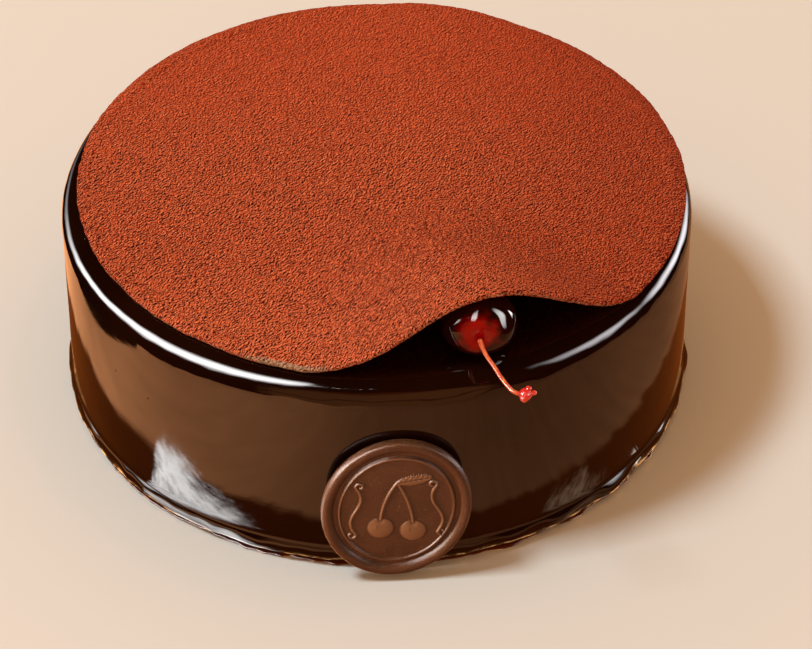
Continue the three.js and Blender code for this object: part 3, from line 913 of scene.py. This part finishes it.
def picture_height(point):
    """How far the cast picture stands above the field at a point of it."""
    height = 0.0
    for middle, size in FRUIT:
        share = (point - middle).length / size
        if share < 1.15:
            dome = FRUIT_HEIGHT * math.sqrt(max(0.0, 1 - share * share)) if share < 1 else 0.0
            notch = 0.35 * math.exp(-((point - middle - Vector((0, size - 1.0))).length / 0.8) ** 2)
            shine = (point - middle - Vector((-1.3, 0.9))).length
            dome += 0.16 * math.exp(-(shine / 0.5) ** 2)
            height = max(height, dome - notch)
    across = point - LEAF_MIDDLE
    along = across.x * math.cos(LEAF_TURN) + across.y * math.sin(LEAF_TURN)
    aside = across.y * math.cos(LEAF_TURN) - across.x * math.sin(LEAF_TURN)
    if abs(along) < LEAF_HALF_LENGTH:
        half = LEAF_HALF_BREADTH * (1 - (along / LEAF_HALF_LENGTH) ** 2) ** 0.8
        half *= 1 + 0.10 * math.sin(along * 9)
        if abs(aside) < half:
            leaf = LEAF_HEIGHT * (1 - (abs(aside) / half) ** 4)
            leaf -= 0.30 * math.exp(-(aside / 0.18) ** 2)
            leaf -= 0.14 * max(0.0, math.sin((along - abs(aside) * 1.1) * 4.2)) ** 4
            height = max(height, leaf)
    for stroke, size in strokes:
        gap = from_stroke(point, stroke)
        if gap < size:
            height = max(height, SPRIG_HEIGHT * math.sqrt(1 - (gap / size) ** 2))
    return height


seal_shape = rounded_grid(SEAL_GRID, SEAL_EDGE, FIELD_HEIGHT)
seal_rim = [(point.x, point.y) for point in rim_curve if point.x > SEAL_EDGE + 0.02 and point.y < 2.95][::-4]
seal_rim += [(SEAL_RADIUS, 0.7), (SEAL_RADIUS - 0.3, 0.2), (SEAL_RADIUS - 1, 0), (14, 0), (7, 0)]
drawn_on(seal_shape, seal_rim)
relief_layer = seal_shape.verts.layers.float.new("relief")

for vertex in seal_shape.verts:
    x, y, height = vertex.co
    radius = math.hypot(x, y)
    place = Matrix.Rotation(-OVAL_TURN, 2) @ Vector((x, y))
    place.y *= OVAL_STRETCH
    place = Matrix.Rotation(OVAL_TURN, 2) @ place
    if abs(height - FIELD_HEIGHT) < 1e-4 and radius < SEAL_EDGE + 0.01:
        height = blank_height(radius)
        vertex[relief_layer] = (0.32 * hump((radius - LINE_PLACE) / LINE_HALF)
                                + 0.25 * hump((radius - RIM_CREST) / 0.4))
        if radius < LINE_PLACE - 0.6:
            raised = picture_height(place)
            vertex[relief_layer] = raised
            height += raised
    vertex.co = (place.x, place.y, height)
seal_x = SEAL_BACK * math.cos(SEAL_ANGLE)
seal_y = SEAL_BACK * math.sin(SEAL_ANGLE)
leaning = Matrix.Translation((seal_x, seal_y, SEAL_MIDDLE))
leaning = leaning @ Matrix.Rotation(SEAL_ANGLE + math.pi / 2, 4, "Z")
leaning = Matrix.Scale(MM, 4) @ leaning @ Matrix.Rotation(SEAL_TILT, 4, "X")
bmesh.ops.transform(seal_shape, matrix=leaning, verts=seal_shape.verts)

cast = Recipe(bpy.data.materials.new("moulded chocolate"))
raised = cast.node("ShaderNodeAttribute", {"attribute_name": "relief"}, output="Fac")
bloom = cast.grain(cast.place(), 0.006, 3)
cast_tone = cast.mix(bloom.between(0.3, 0.7), colour(0.054, 0.0146, 0.0030), colour(0.072, 0.0208, 0.0053))
# The raised picture, the thin line and the rim's crest are paler.
cast_tone = cast.mix(raised.between(0.10, 0.40), cast_tone, colour(0.17, 0.064, 0.023))
rubbed = cast.grain(cast.place(), 0.0006, 3, 0.6)
cast_tone = cast.mix(rubbed.between(0.55, 0.75) * 0.32, cast_tone, colour(0.26, 0.115, 0.050))
cast_bumps = cast.node("ShaderNodeBump", {}, {
    "Strength": 0.5, "Distance": 0.0001, "Height": rubbed,
})
cast_skin = cast.node("ShaderNodeBsdfPrincipled", {}, {
    "Base Color": cast_tone, "Roughness": rubbed.between(0.2, 0.8, 0.32, 0.44), "Specular IOR Level": 0.36,
    "Normal": cast_bumps,
})
cast.node("ShaderNodeOutputMaterial", {}, {"Surface": cast_skin})

chocolate_seal = finished("cast_seal", seal_shape, cast)

# A low lamp on the left grazes the seal alone and brings out its relief.
side_light_data = bpy.data.lights.new("side light", "AREA")
side_light_data.size = 0.3
side_light_data.energy = 11.0
side_light_data.color = (1.0, 0.80, 0.62)
side_light = shown("side light", side_light_data)
side_light.location = (-0.85, -0.38, 0.12)
from_seal = side_light.location - Vector((0, -0.09, 0.03))
side_light.rotation_euler = from_seal.to_track_quat("Z", "Y").to_euler()
side_light.visible_camera = False
only_for(side_light, chocolate_seal, "INCLUDE")

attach(chocolate_seal, "root")
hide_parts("chocolate_seal")
